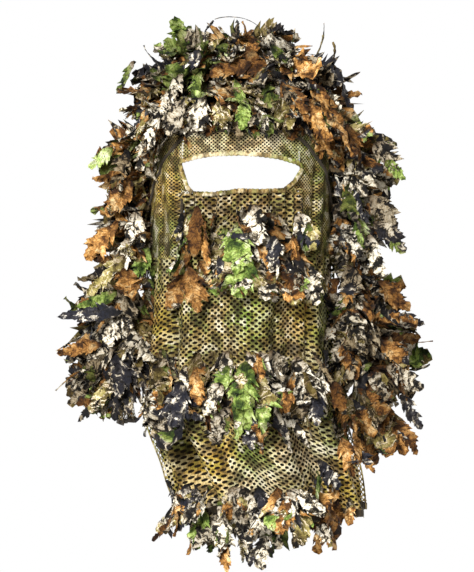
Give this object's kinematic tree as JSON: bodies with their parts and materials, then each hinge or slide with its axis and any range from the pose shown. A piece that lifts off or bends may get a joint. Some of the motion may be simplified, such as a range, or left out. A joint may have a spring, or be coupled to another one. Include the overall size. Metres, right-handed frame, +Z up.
{
  "type": "camouflage face mask",
  "caption": "Leafy camouflage head hood of open mesh with an eye slot, a hanging front veil, side and back flaps, and rows of cloth leaves.",
  "frame": {"origin": "middle of the head space at eye height", "axes": "+Z up, -Y the way the wearer looks, +X the left side of the wearer"},
  "size_m": [0.3636, 0.3471, 0.5516],
  "materials": {
    "mesh": "printed open warp-knit mesh, matt",
    "leaf_cloth": "printed die-cut thin polyester cloth, matt with a slight sheen",
    "lining": "thin black knitted lining, matt",
    "elastic": "gathered elastic under mesh binding",
    "tape": "woven binding tape",
    "webbing": "flat woven elastic webbing",
    "buckle": "moulded plastic, satin"
  },
  "bodies": {
    "hood": {"brow_band": "mesh", "brow_edge_elastic": "elastic", "brow_lining": "lining", "brow_seam_piping": "tape", "crown_leaves_lower": "leaf_cloth", "crown_leaves_middle": "leaf_cloth", "crown_leaves_upper": "leaf_cloth", "crown_panel_left": "mesh", "crown_panel_middle": "mesh", "crown_panel_right": "mesh", "crown_seam_tape_left": "tape", "crown_seam_tape_right": "tape", "crown_tuft": "leaf_cloth", "nape_band": "mesh", "nape_leaves": "leaf_cloth", "rear_strap": "webbing", "side_leaves_left_lower": "leaf_cloth", "side_leaves_left_upper": "leaf_cloth", "side_leaves_right_lower": "leaf_cloth", "side_leaves_right_upper": "leaf_cloth", "temple_lining_left": "lining", "temple_lining_right": "lining", "temple_panel_left": "mesh", "temple_panel_right": "mesh"},
    "veil": {"eye_edge_elastic": "elastic", "veil_fold_left": "mesh", "veil_fold_right": "mesh", "veil_front": "mesh", "veil_hem_tape": "tape", "veil_leaves_cheek": "leaf_cloth", "veil_leaves_chin": "leaf_cloth", "veil_leaves_hem": "leaf_cloth", "veil_lining": "lining"},
    "flap_left": {"flap_left_leaves_lower": "leaf_cloth", "flap_left_leaves_middle": "leaf_cloth", "flap_left_leaves_upper": "leaf_cloth", "flap_left_panel": "mesh"},
    "flap_right": {"flap_right_leaves_lower": "leaf_cloth", "flap_right_leaves_middle": "leaf_cloth", "flap_right_leaves_upper": "leaf_cloth", "flap_right_panel": "mesh"},
    "flap_back": {"flap_back_leaves_lower": "leaf_cloth", "flap_back_leaves_middle": "leaf_cloth", "flap_back_leaves_upper": "leaf_cloth", "flap_back_panel": "mesh"},
    "slider": {"strap_slider": "buckle"}
  },
  "joints": [
    {"name": "veil_lift", "type": "hinge", "parent": "hood", "child": "veil", "pos_m": [0, -0.09, -0.02], "axis": [-1, 0, 0], "range_deg": [0, 75]},
    {"name": "flap_left_lift", "type": "hinge", "parent": "hood", "child": "flap_left", "pos_m": [0.09506, 0.026, -0.092], "axis": [0, -1, 0], "range_deg": [0, 35]},
    {"name": "flap_right_lift", "type": "hinge", "parent": "hood", "child": "flap_right", "pos_m": [-0.09506, 0.026, -0.092], "axis": [0, 1, 0], "range_deg": [0, 35]},
    {"name": "flap_back_lift", "type": "hinge", "parent": "hood", "child": "flap_back", "pos_m": [0, 0.109, -0.092], "axis": [1, 0, 0], "range_deg": [0, 30]},
    {"name": "strap_slide", "type": "slide", "parent": "hood", "child": "slider", "axis": [1, 0, 0], "range_m": [-0.028, 0.028]}
  ]
}
